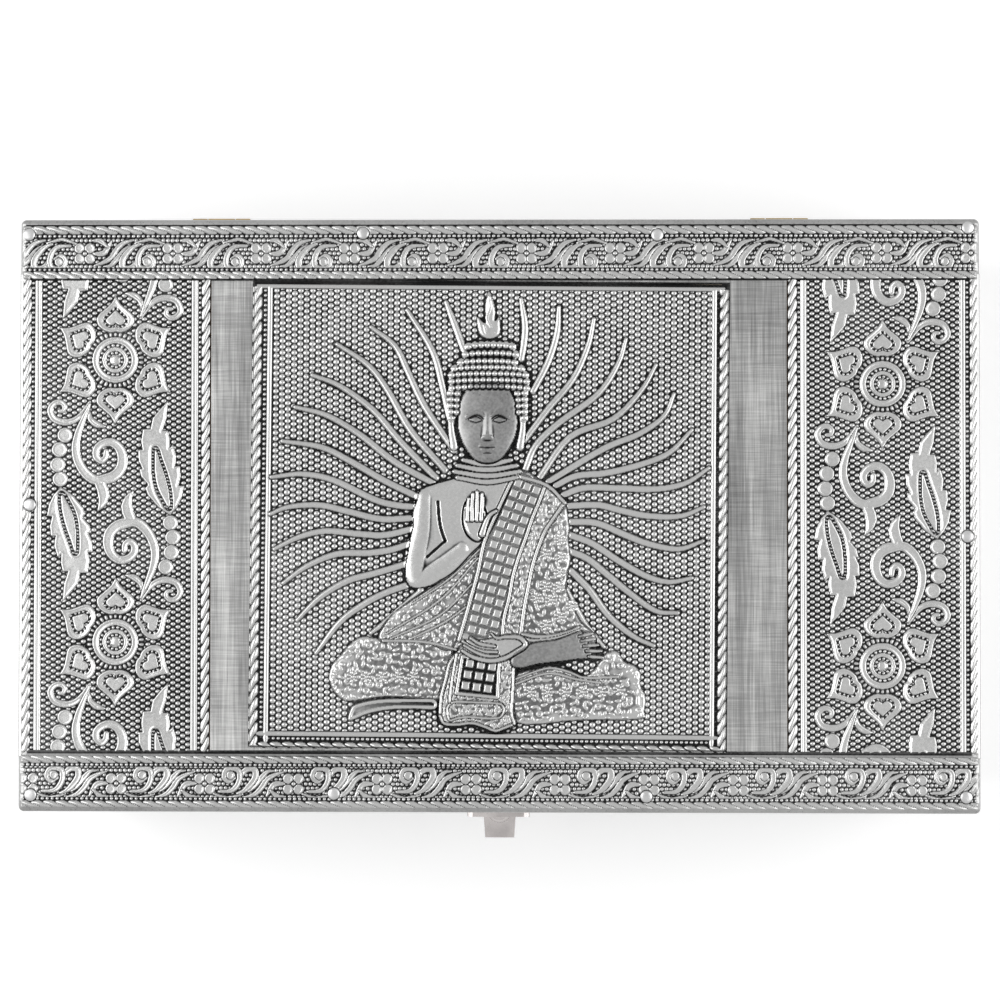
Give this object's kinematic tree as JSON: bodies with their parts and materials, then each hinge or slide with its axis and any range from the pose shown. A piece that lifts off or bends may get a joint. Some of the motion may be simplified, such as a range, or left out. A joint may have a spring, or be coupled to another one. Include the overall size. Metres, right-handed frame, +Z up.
{
  "type": "tin jewelry box",
  "caption": "Low rectangular keepsake box of wood clad in embossed tin foil, with a rear-hinged lid and a small snap hasp.",
  "frame": {"origin": "middle of the underside, on the surface that the box stands on", "axes": "+X to the right of someone facing the hasp, -Y out of the front, +Z up"},
  "size_m": [0.26, 0.174, 0.0731],
  "materials": {
    "embossed_foil": "embossed tin foil with dark oxidised recesses and rubbed bright crests",
    "brushed_foil": "plain foil with fine streaks from front to rear",
    "wood": "bare board",
    "card": "grey card",
    "velvet": "dark red short-pile velvet",
    "felt": "black felt",
    "plated_steel": "dull plated steel",
    "brass": "thin brass sheet, slightly dulled",
    "nickel": "nickel-plated pressed steel"
  },
  "bodies": {
    "base": {"underside_felt": "felt", "bottom_board": "wood", "front_wall": "wood", "back_wall": "wood", "left_wall": "wood", "right_wall": "wood", "front_skin": "embossed_foil", "back_skin": "embossed_foil", "left_skin": "embossed_foil", "right_skin": "embossed_foil", "floor_pad": "velvet", "front_lining": "velvet", "back_lining": "velvet", "left_lining": "velvet", "right_lining": "velvet", "hinge_lower_leaf_left": "brass", "hinge_lower_leaf_right": "brass", "hinge_pin_left": "plated_steel", "hinge_pin_right": "plated_steel", "hasp_body_plate": "nickel"},
    "lid": {"lid_board": "wood", "lid_front_rail": "wood", "lid_back_rail": "wood", "lid_left_rail": "wood", "lid_right_rail": "wood", "lid_front_skin": "embossed_foil", "lid_back_skin": "embossed_foil", "lid_left_skin": "embossed_foil", "lid_right_skin": "embossed_foil", "lid_pad": "velvet", "brushed_sheet": "brushed_foil", "panel_card": "card", "picture_panel": "embossed_foil", "left_strip": "embossed_foil", "right_strip": "embossed_foil", "front_border": "embossed_foil", "rear_border": "embossed_foil", "hinge_upper_leaf_left": "brass", "hinge_upper_leaf_right": "brass", "hasp_lid_plate": "nickel", "hasp_pin": "nickel", "tack_01": "plated_steel", "tack_02": "plated_steel", "tack_03": "plated_steel", "tack_04": "plated_steel", "tack_05": "plated_steel", "tack_06": "plated_steel", "tack_07": "plated_steel", "tack_08": "plated_steel", "tack_09": "plated_steel", "tack_10": "plated_steel"},
    "hasp": {"hasp_tongue": "nickel"}
  },
  "joints": [
    {"name": "lid_hinge", "type": "hinge", "parent": "base", "child": "lid", "pos_m": [0, 0.08205, 0.048], "axis": [-1, 0, 0], "range_deg": [0, 105]},
    {"name": "hasp_swing", "type": "hinge", "parent": "lid", "child": "hasp", "pos_m": [0, -0.08205, 0.0508], "axis": [-1, 0, 0], "range_deg": [0, 130]}
  ]
}
